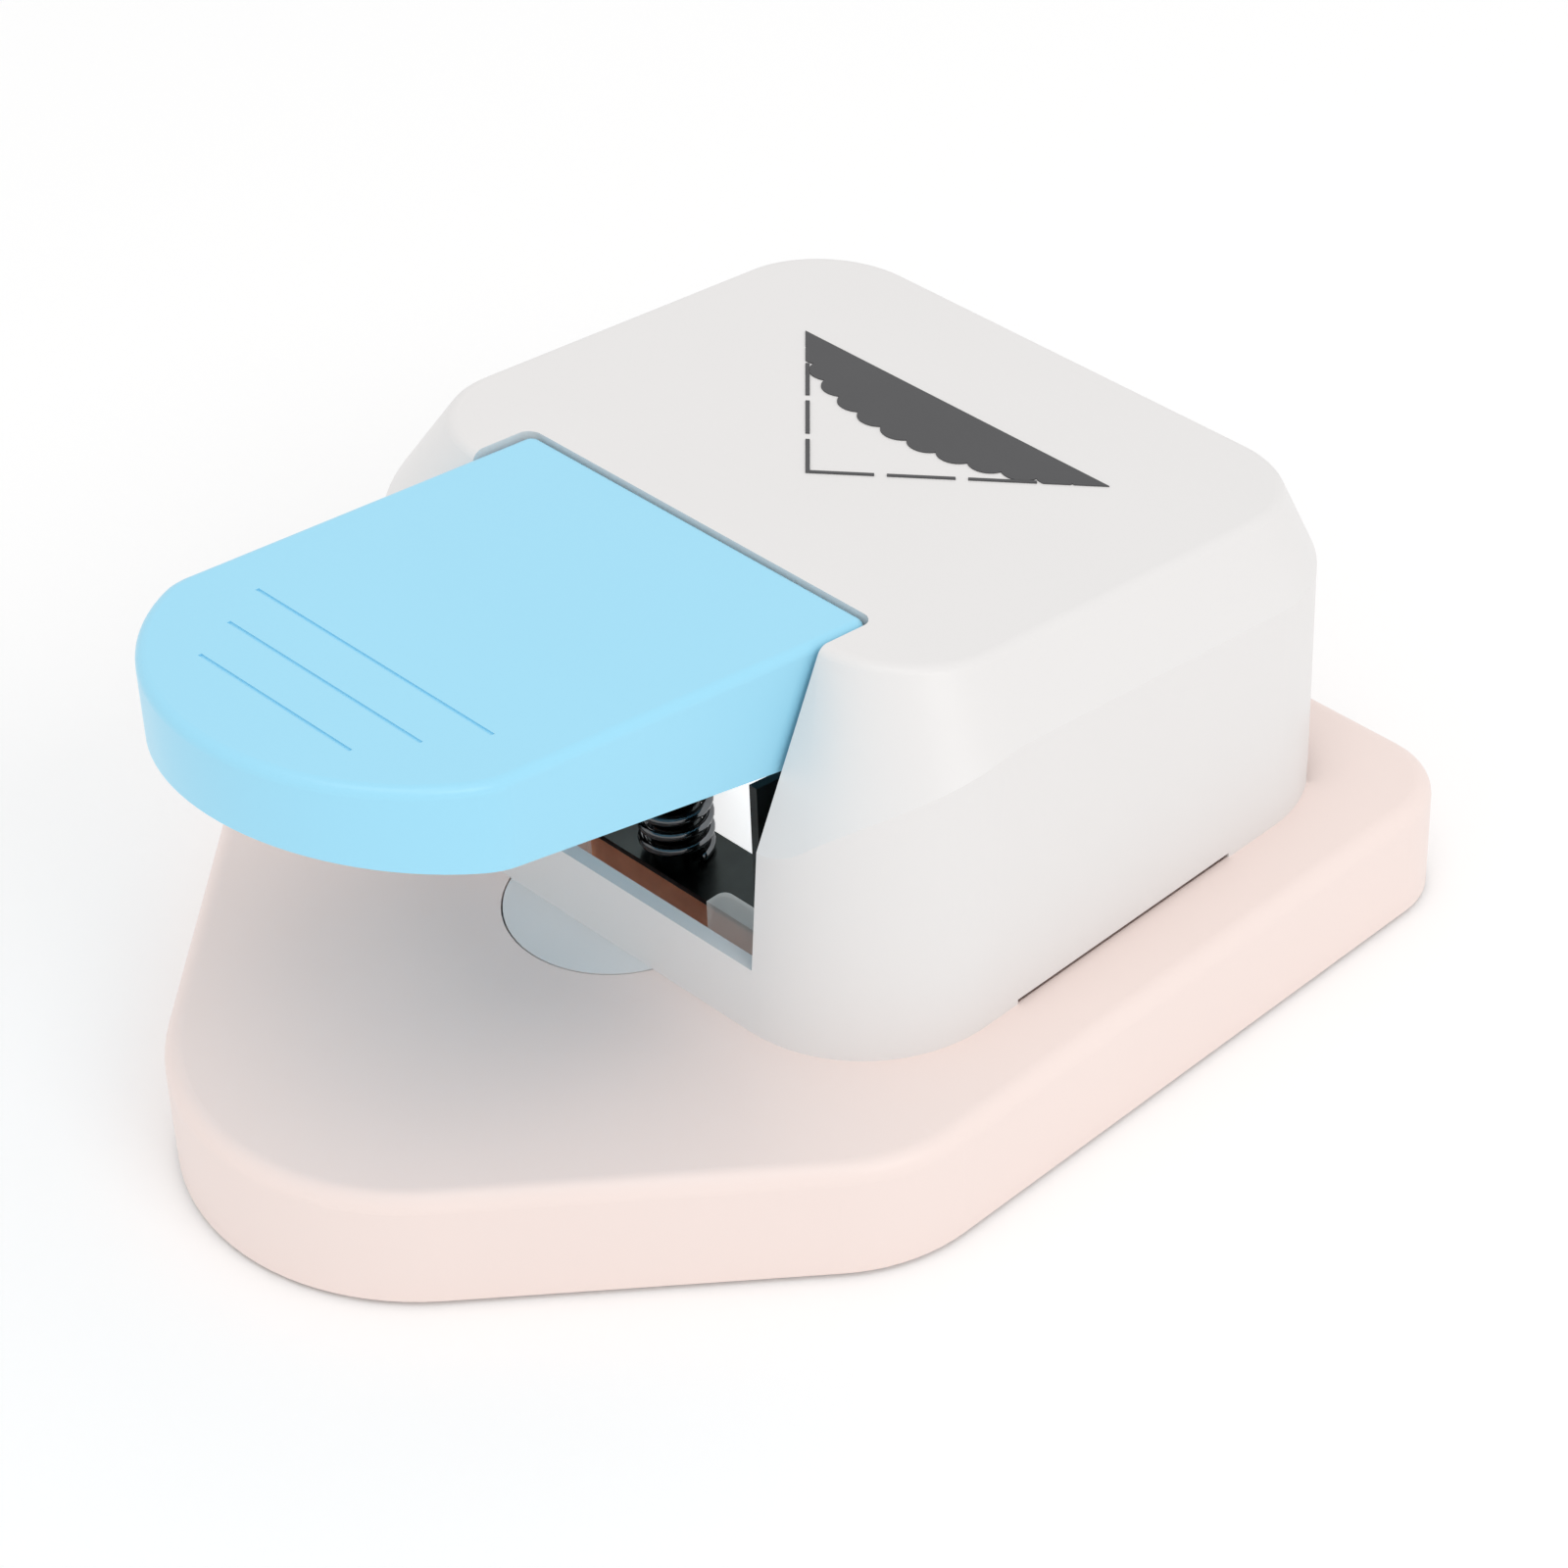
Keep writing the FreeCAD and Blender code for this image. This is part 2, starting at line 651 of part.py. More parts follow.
def make_mark():
    """Flat function mark: the kept, scalloped sheet and the dashed corner that is cut away."""
    cosine = math.cos(math.radians(roof_tilt))
    apex = (mark_apex_y - roof_front_y) / cosine
    radius = mark_half_width * math.sqrt(2)
    edges = scallop_edges(apex + 2 * mark_half_width, radius, 0, 0)
    left = edges[0].Vertexes[0].Point
    right = edges[-1].Vertexes[-1].Point
    edges.append(Part.LineSegment(right, left).toShape())
    sheet = Part.Face(Part.Wire(edges)).extrude(vec(0, 0, mark_thickness))
    corner = [(0, apex, 0), (mark_half_width, apex + mark_half_width, 0),
              (-mark_half_width, apex + mark_half_width, 0)]
    pieces = [sheet.common(slab(corner, 0, mark_thickness))]
    for side in (1, -1):
        for i in range(mark_dash_count):
            start = i * mark_dash_pitch if i or side > 0 else mark_dash_width
            dash = box(start, i * mark_dash_pitch + mark_dash, 0, mark_dash_width, 0, mark_thickness)
            if side < 0:
                dash = dash.mirror(vec(0, 0, 0), vec(0, 1, 0))
            turn = 45 if side > 0 else 135
            dash.Placement = FreeCAD.Placement(vec(0, apex, 0), FreeCAD.Rotation(vec(0, 0, 1), turn))
            pieces.append(dash)
    for piece in pieces:
        piece.Placement = roof_placement().multiply(piece.Placement)
    return group(pieces)


# ---- cutting set ------------------------------------------------------------------------------------------
def post_places():
    return [(s * post_x, post_y) for s in (1, -1)]


def rivet_places():
    return [(s * rivet_x, y) for y in rivet_ys for s in (1, -1)]


def make_die():
    half = die_half_width
    block = box(-half, half, die_front_y, die_rear_y, die_bottom, base_top)
    stop = [(-half, die_front_y, 0), (half, die_front_y, 0), (half, apex_y + half, 0),
            (0, apex_y, 0), (-half, apex_y + half, 0)]
    block = fused(block, [slab(stop, base_top, stripper_bottom)])
    cuts = [cutter(die_bottom, top, cut_clearance),
            cutter(0, base_top - die_land, cut_clearance + die_relief)]
    cuts.append(rod(lever_post_radius, 0, lever_spring_y, 0, top))
    for x, y in post_places():
        cuts.append(rod(post_radius, x, y, 0, top))
    for x, y in rivet_places()[:2]:
        cuts.append(rod(rivet_radius, x, y, 0, top))
    for x, y in die_screw_places():
        cuts.append(rod(die_screw_radius, x, y, 0, die_bottom + die_screw_reach))
    for y in cross_pin_ys:
        cuts.append(cross_rod(cross_pin_radius, -half, half, y, (die_bottom + base_top) / 2))
    return block.cut(cuts)


def make_stripper():
    half = die_half_width
    sheet = box(-half, half, die_front_y, die_rear_y, stripper_bottom, stripper_top)
    cuts = [cutter(0, top, cut_clearance), rod(lever_post_radius, 0, lever_spring_y, 0, top)]
    for x, y in post_places():
        cuts.append(rod(post_radius, x, y, 0, top))
    for x, y in rivet_places():
        cuts.append(rod(rivet_radius, x, y, 0, top))
    return sheet.cut(cuts)


def make_rivets():
    """Front pair holds the stripper to the die, rear pair holds the housing to the stripper."""
    rivets = []
    for x, y in rivet_places():
        start = die_bottom if y == rivet_ys[0] else stripper_bottom
        rivets.append(rod(rivet_radius, x, y, start, stripper_top))
    return group(rivets)


def make_die_screws():
    seat = die_bottom - die_ledge_thickness
    return group(screw(x, y, seat, die_bottom + die_screw_reach, die_screw_radius,
                       die_screw_head_radius, die_screw_head_height) for x, y in die_screw_places())


def make_plate():
    """Right-hand side plate: a C around the paper's throat that carries the pivot."""
    low = die_bottom
    throat_low = base_top - plate_throat_gap
    throat_high = stripper_bottom + plate_throat_gap
    back_y = pivot_y + pivot_boss_radius
    profile = [(plate_front_y, low), (die_rear_y, low), (die_rear_y, throat_low),
               (plate_throat_y, throat_low), (plate_throat_y, throat_high),
               (plate_heel_y, throat_high), (back_y, pivot_z), (pivot_y, pivot_z),
               (pivot_y - pivot_boss_radius, plate_top), (0, plate_top),
               (plate_front_y, plate_front_top)]
    plate = side_slab(profile, plate_inner, plate_outer)
    plate = fused(plate, [cross_rod(pivot_boss_radius, plate_inner, plate_outer, pivot_y, pivot_z)])
    cuts = [cross_rod(pivot_radius, 0, top, pivot_y, pivot_z),
            cross_rod(crossbar_radius, 0, top, crossbar_y, crossbar_z)]
    for y in cross_pin_ys:
        cuts.append(cross_rod(cross_pin_radius, 0, top, y, (die_bottom + base_top) / 2))
    for y in housing_peg_ys:
        cuts.append(cross_rod(housing_peg_radius, 0, top, y, housing_peg_z))
    return plate.cut(cuts)


def make_cross_pins():
    pins = []
    for y in cross_pin_ys:
        z = (die_bottom + base_top) / 2
        pin = cross_rod(cross_pin_radius, -plate_outer, plate_outer, y, z)
        head = cross_rod(cross_pin_head_radius, plate_outer, plate_outer + cross_pin_head, y, z)
        pins.append(fused(pin, both_sides(head)))
    return group(pins)


def make_crossbar():
    return cross_rod(crossbar_radius, -plate_outer, plate_outer, crossbar_y, crossbar_z)


def make_pivot_pin():
    end = arm_outer + pin_overhang
    return cross_rod(pivot_radius, -end, end, pivot_y, pivot_z)


def make_pivot_clips():
    start = arm_outer + clip_gap
    ring = cross_rod(clip_radius, start, start + clip_thickness, pivot_y, pivot_z)
    ring = ring.cut(cross_rod(pivot_radius, 0, top, pivot_y, pivot_z))
    gate = box(start - 1, start + 1 + clip_thickness, pivot_y - pivot_radius * 0.8,
               pivot_y + pivot_radius * 0.8, pivot_z - 2 * clip_radius, pivot_z)
    return group(both_sides(ring.cut(gate)))


# ---- lever --------------------------------------------------------------------------------------------------
def lever_outline(distance, rear_y, z):
    """Plan of the lever moved inwards by distance, its nose one arc between the flanks."""
    rear = lever_rear_half_width - distance
    flank = lever_front_half_width - distance
    nose = lever_nose_y + distance
    start = vec(flank, lever_flank_y, z)
    end = vec(-flank, lever_flank_y, z)
    edges = [Part.LineSegment(vec(rear, rear_y, z), start).toShape(),
             Part.Arc(start, vec(0, nose, z), end).toShape(),
             Part.LineSegment(end, vec(-rear, rear_y, z)).toShape(),
             Part.LineSegment(vec(-rear, rear_y, z), vec(rear, rear_y, z)).toShape()]
    return Part.Wire(edges)


def lever_block(distance, rear_y, blend, rear_corner):
    block = Part.Face(lever_outline(distance, rear_y, 0)).extrude(vec(0, 0, top))
    upright = [e for e in block.Edges if abs(e.Vertexes[0].Z - e.Vertexes[-1].Z) > 1]
    flank = [e for e in upright if e.Vertexes[0].Y < rear_y - 1]
    block = block.makeFillet(blend, flank)
    if rear_corner > 0:
        corner = [e for e in block.Edges if abs(e.Vertexes[0].Z - e.Vertexes[-1].Z) > 1
                  and abs(e.Vertexes[0].Y - rear_y) < 1e-6]
        block = block.makeFillet(rear_corner, corner)
    return block


def make_lever():
    roof = above_plane(lever_rear_y, lever_top_z, lever_top_slope)
    skirt = above_plane(lever_rear_y, lever_bottom_z, lever_bottom_slope)
    handle = lever_block(0, lever_rear_y, lever_nose_blend, lever_rear_corner)
    handle = handle.cut(roof).common(skirt)
    slope = tangent(lever_top_slope)
    rim = [e for e in handle.Edges
           if all(abs(v.Z - lever_top_z - (lever_rear_y - v.Y) * slope) < 1e-3 for v in e.Vertexes)]
    handle = handle.makeFillet(lever_fillet, rim)
    ceiling = above_plane(lever_rear_y, lever_top_z - lever_top_wall, lever_top_slope)
    room = lever_block(lever_wall, lever_rear_y - lever_wall, lever_nose_blend - lever_wall, 0)
    handle = handle.cut(room.cut(ceiling))

    web_top = casing_wall + web_gap
    web = box(-arm_inner, arm_inner, lever_rear_y - lever_wall, web_rear_y, 0, top)
    web_above = above_plane(roof_front_y, roof_front_z - web_top / math.cos(math.radians(roof_tilt)),
                            roof_tilt)
    web_below = above_plane(roof_front_y, roof_front_z - (web_top + web_thickness)
                            / math.cos(math.radians(roof_tilt)), roof_tilt)
    web = web.cut(web_above)
    under_web = box(-top, top, lever_rear_y - lever_wall, top, 0, top).cut(web_below)
    web = web.common(web_below)
    between_arms = box(-arm_inner, arm_inner, lever_rear_y - 2 * lever_wall, top, 0, top)
    handle = handle.cut(between_arms.common(under_web))

    arm_top = roof_plane_z(arm_rear_y) - web_top - 0.5
    arm = [(lever_rear_y - arm_overlap, lever_bottom_z + arm_overlap / 2),
           (lever_rear_y, lever_bottom_z),
           (pivot_y - pivot_boss_radius, pivot_z - pivot_boss_radius / 2),
           (pivot_y, pivot_z), (arm_rear_y, arm_top),
           (lever_rear_y, roof_plane_z(lever_rear_y) - web_top - 0.5),
           (lever_rear_y - arm_overlap, roof_plane_z(lever_rear_y) - web_top - 2.0)]
    arm = side_slab(arm, arm_inner, arm_outer)
    boss = cross_rod(pivot_boss_radius, arm_inner, arm_outer, pivot_y, pivot_z)
    arm = fused(arm, [boss])

    rib = box(lever_rib_x, lever_rib_x + lever_rib_thickness, lever_rib_front_y, lever_rear_y - 1, 0, top)
    rib_floor = above_plane(lever_rear_y, lever_top_z - lever_top_wall - lever_rib_height,
                            lever_top_slope)
    above_ceiling = above_plane(lever_rear_y, lever_top_z - lever_top_wall / 2, lever_top_slope)
    rib = rib.common(rib_floor).cut(above_ceiling)
    behind = box(-top, top, lever_rear_y - lever_fillet, top, 0, top)
    cup = rod(cup_radius, 0, lever_spring_y, cup_bottom, top).cut([above_ceiling, behind.common(web_above)])
    cup_room = rod(cup_radius - cup_wall, 0, lever_spring_y, 0, top).cut(ceiling)
    press_rib = box(press_rib_x, press_rib_x + press_rib_thickness, press_y - press_rib_half_length,
                    press_y + press_rib_half_length, press_z - press_rib_hold, top)
    press_rib = press_rib.common(under_web.fuse(web))

    lever = fused(handle, [web] + both_sides(arm) + both_sides(rib) + [cup] + both_sides(press_rib))
    cuts = [cup_room, cross_rod(pivot_radius + pivot_running_gap, -top, top, pivot_y, pivot_z),
            cross_rod(press_pin_radius, -top, top, press_y, press_z)]
    for y, half in grooves:
        z = lever_top_z + (lever_rear_y - y) * slope
        groove = box(-half, half, -groove_width / 2, groove_width / 2, -groove_depth, top)
        groove.Placement = FreeCAD.Placement(vec(0, y, z), FreeCAD.Rotation(vec(1, 0, 0),
                                                                            -lever_top_slope))
        cuts.append(groove)
    return lever.cut(cuts)


def make_press_pin():
    return cross_rod(press_pin_radius, -press_pin_half_length, press_pin_half_length, press_y, press_z)


# ---- punch, carrier, housing -----------------------------------------------------------------------------------
def punch_screw_places():
    return [(s * punch_screw_x, punch_screw_y) for s in (1, -1)]


def make_punch():
    blade = cutter(punch_bottom, punch_top)
    reach = punch_top - punch_screw_reach
    return blade.cut([rod(punch_screw_radius, x, y, reach, top) for x, y in punch_screw_places()])


def make_carrier():
    half = carrier_half_width
    corner = carrier_corner
    block = slab([(half, carrier_rear_y, corner), (-half, carrier_rear_y, corner),
                  (-half, carrier_front_y, corner), (half, carrier_front_y, corner)],
                 carrier_bottom, carrier_top)
    pad = box(-pad_half_width, pad_half_width, press_y - pad_half_length, press_y + pad_half_length,
              carrier_top, carrier_top + pad_height)
    block = fused(block, [pad])
    cuts = [cutter(carrier_bottom - 1, punch_top)]
    for x, y in post_places():
        cuts.append(rod(post_radius + post_running_gap, x, y, 0, top))
        cuts.append(rod(punch_spring_pocket_radius, x, y, 0, carrier_bottom + punch_spring_pocket))
    for x, y in punch_screw_places():
        cuts.append(rod(punch_screw_radius, x, y, 0, top))
        cuts.append(rod(punch_screw_head_radius, x, y, carrier_top - punch_screw_head_height, top))
    return block.cut(cuts)


def make_punch_screws():
    screws = []
    for x, y in punch_screw_places():
        seat = carrier_top - punch_screw_head_height
        item = screw(x, y, 0, seat - punch_top + punch_screw_reach, punch_screw_radius,
                     punch_screw_head_radius, punch_screw_head_height)
        item = item.mirror(vec(0, 0, 0), vec(0, 0, 1))
        item.translate(vec(0, 0, seat))
        screws.append(item)
    return group(screws)


def make_guide_posts():
    return group(rod(post_radius, x, y, die_bottom, post_top) for x, y in post_places())


def make_housing():
    """White box round the carrier, with pegs that snap into the side plates."""
    half = carrier_half_width + housing_gap + housing_wall
    rear = carrier_rear_y + housing_rear_gap + housing_wall
    block = box(-half, half, housing_front_y, rear, stripper_top, housing_top)
    room = box(-half + housing_wall, half - housing_wall, housing_front_y + housing_front_wall,
               rear - housing_wall, 0, top)
    block = block.cut(room)
    pegs = []
    for y in housing_peg_ys:
        pegs += both_sides(cross_rod(housing_peg_radius, half - housing_wall / 2, plate_outer, y,
                                     housing_peg_z))
    return fused(block, pegs)


# ---- springs and small parts at the front ---------------------------------------------------------------------------
def make_lever_spring():
    ceiling = lever_top_z - lever_top_wall + (lever_rear_y - lever_spring_y) * tangent(lever_top_slope)
    return coil(lever_spring_radius, lever_spring_wire, lever_spring_pitch, 0, lever_spring_y,
                stripper_top, ceiling - lever_spring_top_gap)


def make_lever_post():
    post = rod(lever_post_radius, 0, lever_spring_y, die_bottom, lever_post_top)
    rim = [e for e in post.Edges if all(abs(v.Z - lever_post_top) < 1e-6 for v in e.Vertexes)]
    return post.makeChamfer(0.5, rim[:1])


def make_punch_spring(side):
    spring = coil(punch_spring_radius, punch_spring_wire, punch_spring_pitch, 0, 0,
                  stripper_top, carrier_bottom + punch_spring_pocket - punch_spring_top_gap)
    spring.translate(vec(side * post_x, post_y))
    return spring


def make_edge_clips():
    """Natural nylon clips that wrap the front edge of the cutting set."""
    face = die_front_y
    over = [(clip_front_x, face - edge_clip_thickness, 0), (die_half_width, face - edge_clip_thickness, 0),
            (die_half_width, face + edge_clip_depth, 0),
            (clip_front_x, face + edge_clip_depth, edge_clip_corner)]
    clip = slab(over, stripper_top, stripper_top + edge_clip_thickness)
    drop = box(clip_front_x, die_half_width, face - edge_clip_thickness, face,
               stripper_top - edge_clip_drop, stripper_top + edge_clip_thickness)
    return group(both_sides(fused(clip, [drop])))


# ---- write every sub-part --------------------------------------------------------------------------------------------
parts = {
    "base_tray": make_base,
    "chip_hatch": make_hatch,
    "hatch_pins": make_hatch_pins,
    "rubber_feet": make_feet,
    "casing": make_casing,
    "casing_screws": make_casing_screws,
    "printed_mark": make_mark,
    "die_block": make_die,
    "stripper_plate": make_stripper,
    "stripper_rivets": make_rivets,
    "die_screws": make_die_screws,
    "side_plate_right": make_plate,
    "side_plate_left": lambda: mirrored(make_plate()),
    "cross_pins": make_cross_pins,
    "frame_crossbar": make_crossbar,
    "pivot_pin": make_pivot_pin,
    "pivot_clips": make_pivot_clips,
    "lever": make_lever,
    "press_pin": make_press_pin,
    "punch": make_punch,
    "punch_carrier": make_carrier,
    "punch_screws": make_punch_screws,
    "guide_posts": make_guide_posts,
    "punch_housing": make_housing,
    "lever_spring": make_lever_spring,
    "lever_spring_post": make_lever_post,
    "punch_spring_right": lambda: make_punch_spring(1),
    "punch_spring_left": lambda: make_punch_spring(-1),
    "edge_clips": make_edge_clips,
}

os.makedirs("parts", exist_ok=True)
for name, make in parts.items():
    shape = make()
    shape.translate(vec(0, -middle_y))
    print(name, "solids", len(shape.Solids), "valid", shape.isValid(), "volume", round(shape.Volume, 1))
    shape.exportStep("parts/" + name + ".step")
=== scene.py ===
import json
import math

import bmesh
import bpy
from mathutils import Matrix, Vector


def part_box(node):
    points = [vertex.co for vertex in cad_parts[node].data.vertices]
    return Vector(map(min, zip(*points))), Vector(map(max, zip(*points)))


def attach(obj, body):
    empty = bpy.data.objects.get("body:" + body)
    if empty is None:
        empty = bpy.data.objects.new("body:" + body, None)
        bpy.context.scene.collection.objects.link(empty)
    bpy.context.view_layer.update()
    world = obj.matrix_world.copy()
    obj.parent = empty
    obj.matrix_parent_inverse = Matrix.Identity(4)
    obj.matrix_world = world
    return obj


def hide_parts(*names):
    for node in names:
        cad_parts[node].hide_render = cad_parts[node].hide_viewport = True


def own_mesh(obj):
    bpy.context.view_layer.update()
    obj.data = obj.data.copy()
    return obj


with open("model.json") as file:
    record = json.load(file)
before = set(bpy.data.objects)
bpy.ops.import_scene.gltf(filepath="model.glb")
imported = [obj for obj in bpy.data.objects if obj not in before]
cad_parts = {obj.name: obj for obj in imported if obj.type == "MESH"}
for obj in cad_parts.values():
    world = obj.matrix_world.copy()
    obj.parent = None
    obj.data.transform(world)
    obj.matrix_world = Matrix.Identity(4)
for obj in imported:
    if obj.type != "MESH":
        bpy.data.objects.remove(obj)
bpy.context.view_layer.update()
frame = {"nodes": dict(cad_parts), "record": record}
print("corner rounder: frame loaded,", len(frame["nodes"]), "CAD nodes")


# Camera, floor and light

camera = {
    "place": (0.21725, -0.19497, 0.24354),
    "azimuth": 46.696,
    "elevation": 37.728,
    "roll": -2.349,
    "lens": 106.11,
    "sensorWidth": 36,
    "shiftX": -0.0007,
    "shiftY": -0.0055,
    "nearestSeen": 0.01,
}

studio = {
    "floorSize": 6.0,
    "floorColour": (0.99, 0.99, 0.99),
    "floorRoughness": 0.9,
    "skyColour": (1.0, 1.0, 1.0),
    "skyStrength": 0.86,
    "lampAim": (0.0, 0.0, 0.02),
    # name, place, width, height, power, colour
    "lamps": (
        ("keyLamp", (0.86, -0.10, 0.72), 0.5, 0.4, 1.5, (1.0, 0.99, 0.975)),
        ("topLamp", (0.30, -0.25, 1.10), 0.7, 0.7, 1.7, (1.0, 0.995, 0.985)),
    ),
}


def aimedMatrix(place, target):
    back = (Vector(place) - Vector(target)).normalized()
    right = Vector((0, 0, 1)).cross(back).normalized()
    up = back.cross(right)
    turn = Matrix((right, up, back)).transposed().to_4x4()
    return Matrix.Translation(Vector(place)) @ turn


def addCamera():
    azimuth = math.radians(camera["azimuth"])
    elevation = math.radians(camera["elevation"])
    back = Vector((math.cos(elevation) * math.sin(azimuth),
                   -math.cos(elevation) * math.cos(azimuth), math.sin(elevation)))
    right = Vector((math.cos(azimuth), math.sin(azimuth), 0))
    turn = Matrix((right, back.cross(right), back)).transposed().to_4x4()
    roll = Matrix.Rotation(math.radians(camera["roll"]), 4, "Z")
    data = bpy.data.cameras.new("camera")
    data.lens = camera["lens"]
    data.sensor_width = camera["sensorWidth"]
    data.shift_x = camera["shiftX"]
    data.shift_y = camera["shiftY"]
    data.clip_start = camera["nearestSeen"]
    view = bpy.data.objects.new("camera", data)
    view.matrix_world = Matrix.Translation(Vector(camera["place"])) @ turn @ roll
    bpy.context.scene.collection.objects.link(view)
    bpy.context.scene.camera = view


def addStudio():
    world = bpy.data.worlds.new("paleSky")
    world.use_nodes = True
    sky = world.node_tree.nodes["Background"]
    sky.inputs["Color"].default_value = (*studio["skyColour"], 1)
    sky.inputs["Strength"].default_value = studio["skyStrength"]
    bpy.context.scene.world = world
    bpy.context.scene.view_settings.view_transform = "Standard"
    for name, place, width, height, power, colour in studio["lamps"]:
        lamp = bpy.data.lights.new(name, "AREA")
        lamp.shape = "RECTANGLE"
        lamp.size = width
        lamp.size_y = height
        lamp.energy = power
        lamp.color = colour
        item = bpy.data.objects.new(name, lamp)
        item.matrix_world = aimedMatrix(place, studio["lampAim"])
        bpy.context.scene.collection.objects.link(item)
    bm = bmesh.new()
    bmesh.ops.create_grid(bm, x_segments=1, y_segments=1, size=studio["floorSize"] / 2)
    floor = pieceFromBmesh("floor", bm)
    floor.data.materials.append(paintedFloor())


def pieceFromBmesh(name, bm):
    mesh = bpy.data.meshes.new(name)
    bm.to_mesh(mesh)
    bm.free()
    piece = bpy.data.objects.new(name, mesh)
    bpy.context.scene.collection.objects.link(piece)
    return piece


# Shader groups that several finishes share

def newGroup(name, inputs, outputs):
    group = bpy.data.node_groups.new(name, "ShaderNodeTree")
    for label, kind, value in inputs:
        socket = group.interface.new_socket(label, in_out="INPUT", socket_type=kind)
        socket.default_value = value
    for label, kind in outputs:
        group.interface.new_socket(label, in_out="OUTPUT", socket_type=kind)
    return group, group.nodes.new("NodeGroupInput"), group.nodes.new("NodeGroupOutput")


def noiseNode(tree, scale, detail, roughness=0.5):
    noise = tree.nodes.new("ShaderNodeTexNoise")
    noise.inputs["Scale"].default_value = scale
    noise.inputs["Detail"].default_value = detail
    noise.inputs["Roughness"].default_value = roughness
    return noise


def rangeNode(tree, low, high, toLow, toHigh):
    mapped = tree.nodes.new("ShaderNodeMapRange")
    for label, value in (("From Min", low), ("From Max", high),
                         ("To Min", toLow), ("To Max", toHigh)):
        mapped.inputs[label].default_value = value
    return mapped


def mathNode(tree, operation, first, second):
    node = tree.nodes.new("ShaderNodeMath")
    node.operation = operation
    for socket, value in zip(node.inputs, (first, second)):
        if isinstance(value, (int, float)):
            socket.default_value = value
        else:
            tree.links.new(value, socket)
    return node.outputs[0]


skinOutputs = (
    ("Colour", "NodeSocketColor"),
    ("Roughness", "NodeSocketFloat"),
    ("Height", "NodeSocketFloat"),
)

# scales are noise cells per metre; reliefs are the bump's height in metres
mouldedPattern = {
    "driftScale": 45.0,
    "flowScale": 260.0,
    "grainScale": 4000.0,
    "flowHeight": 0.15,
    "relief": 0.000005,
}
brushedPattern = {
    "mottleScale": 300.0,
    "mottleFrom": 0.35,
    "mottleTo": 0.65,
    "relief": 0.000004,
}


def mouldedSkinGroup():
    # moulded plastic: slow tone drift, faint flow marks and a fine spark-eroded grain
    group, source, sink = newGroup("mouldedSkin", (
        ("Colour", "NodeSocketColor", (0.8, 0.8, 0.8, 1)),
        ("Tone Drift", "NodeSocketFloat", 0.03),
        ("Roughness", "NodeSocketFloat", 0.35),
        ("Roughness Drift", "NodeSocketFloat", 0.06),
        ("Grain Scale", "NodeSocketFloat", mouldedPattern["grainScale"]),
    ), skinOutputs)
    place = group.nodes.new("ShaderNodeTexCoord").outputs["Object"]
    drift = noiseNode(group, mouldedPattern["driftScale"], 3.0)
    flow = noiseNode(group, mouldedPattern["flowScale"], 2.0)
    grain = noiseNode(group, mouldedPattern["grainScale"], 2.0, 0.7)
    for node in (drift, flow, grain):
        group.links.new(place, node.inputs["Vector"])
    group.links.new(source.outputs["Grain Scale"], grain.inputs["Scale"])
    tone = mathNode(group, "SUBTRACT", drift.outputs["Fac"], 0.5)
    tone = mathNode(group, "MULTIPLY", tone, source.outputs["Tone Drift"])
    tone = mathNode(group, "ADD", tone, 1.0)
    shade = group.nodes.new("ShaderNodeVectorMath")
    shade.operation = "SCALE"
    group.links.new(source.outputs["Colour"], shade.inputs[0])
    group.links.new(tone, shade.inputs["Scale"])
    group.links.new(shade.outputs["Vector"], sink.inputs["Colour"])
    rough = mathNode(group, "SUBTRACT", flow.outputs["Fac"], 0.5)
    rough = mathNode(group, "MULTIPLY", rough, source.outputs["Roughness Drift"])
    rough = mathNode(group, "ADD", rough, source.outputs["Roughness"])
    group.links.new(rough, sink.inputs["Roughness"])
    low = mathNode(group, "MULTIPLY", flow.outputs["Fac"], mouldedPattern["flowHeight"])
    group.links.new(mathNode(group, "ADD", low, grain.outputs["Fac"]), sink.inputs["Height"])
    return group


